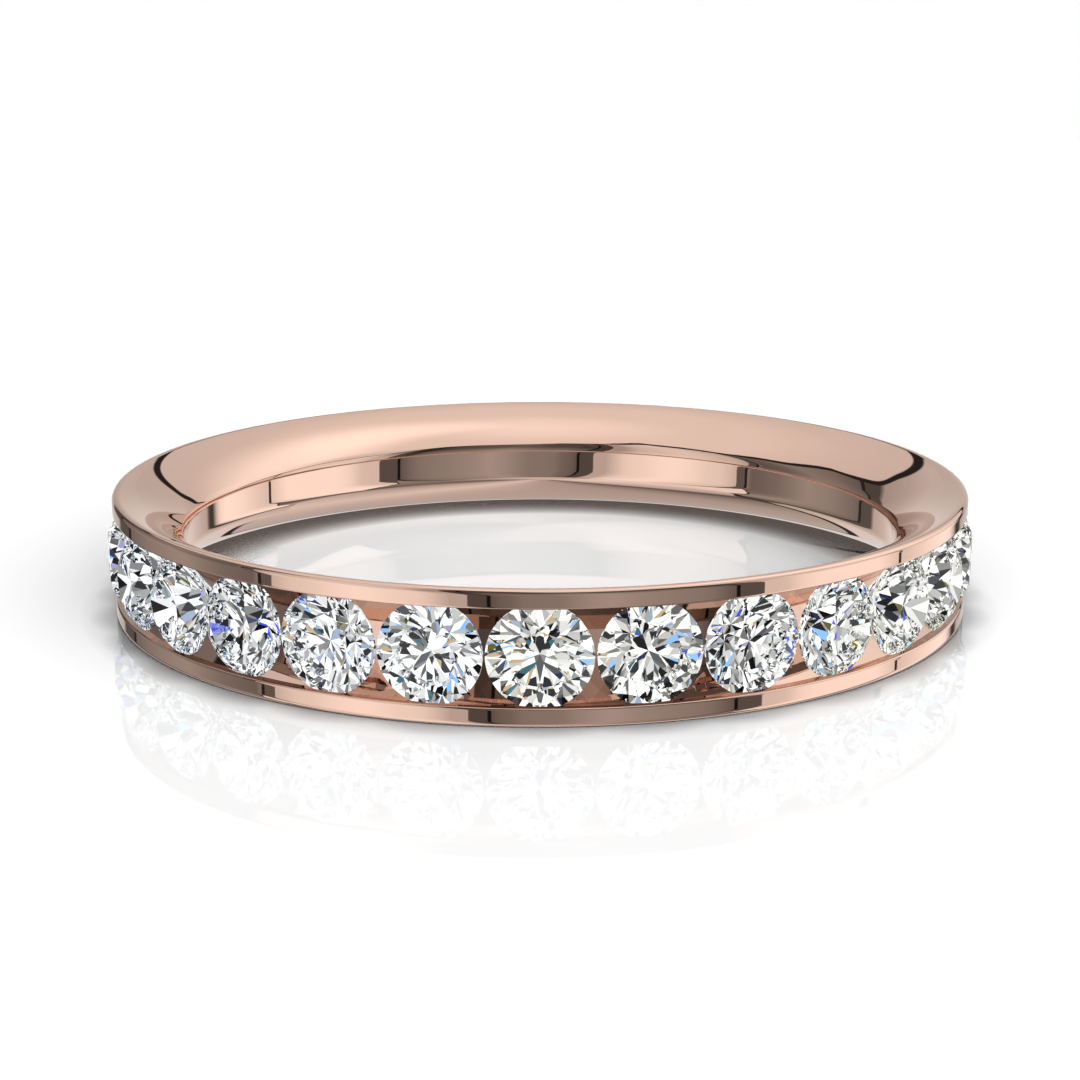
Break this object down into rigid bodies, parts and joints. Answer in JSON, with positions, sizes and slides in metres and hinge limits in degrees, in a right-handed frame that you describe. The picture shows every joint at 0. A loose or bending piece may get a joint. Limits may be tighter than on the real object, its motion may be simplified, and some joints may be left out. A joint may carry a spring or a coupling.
{
  "type": "wedding band",
  "caption": "Flat-sided wedding band with a comfort-fit inside and a full row of channel-set round brilliants between two thin rails.",
  "frame": {"origin": "middle of the finger hole, on the surface the ring lies on", "axes": "+Z along the ring's axis, upwards as it lies on its side; -Y through the middle of stone_01"},
  "size_m": [0.0204, 0.0204, 0.0028],
  "materials": {
    "rose_gold": "polished rose gold, mirror bright",
    "diamond": "colourless brilliant-cut diamond"
  },
  "bodies": {
    "root": {"band": "rose_gold", "stone_01": "diamond", "stone_02": "diamond", "stone_03": "diamond", "stone_04": "diamond", "stone_05": "diamond", "stone_06": "diamond", "stone_07": "diamond", "stone_08": "diamond", "stone_09": "diamond", "stone_10": "diamond", "stone_11": "diamond", "stone_12": "diamond", "stone_13": "diamond", "stone_14": "diamond", "stone_15": "diamond", "stone_16": "diamond", "stone_17": "diamond", "stone_18": "diamond", "stone_19": "diamond", "stone_20": "diamond", "stone_21": "diamond", "stone_22": "diamond", "stone_23": "diamond", "stone_24": "diamond", "stone_25": "diamond", "stone_26": "diamond", "stone_27": "diamond", "stone_28": "diamond"}
  },
  "joints": []
}
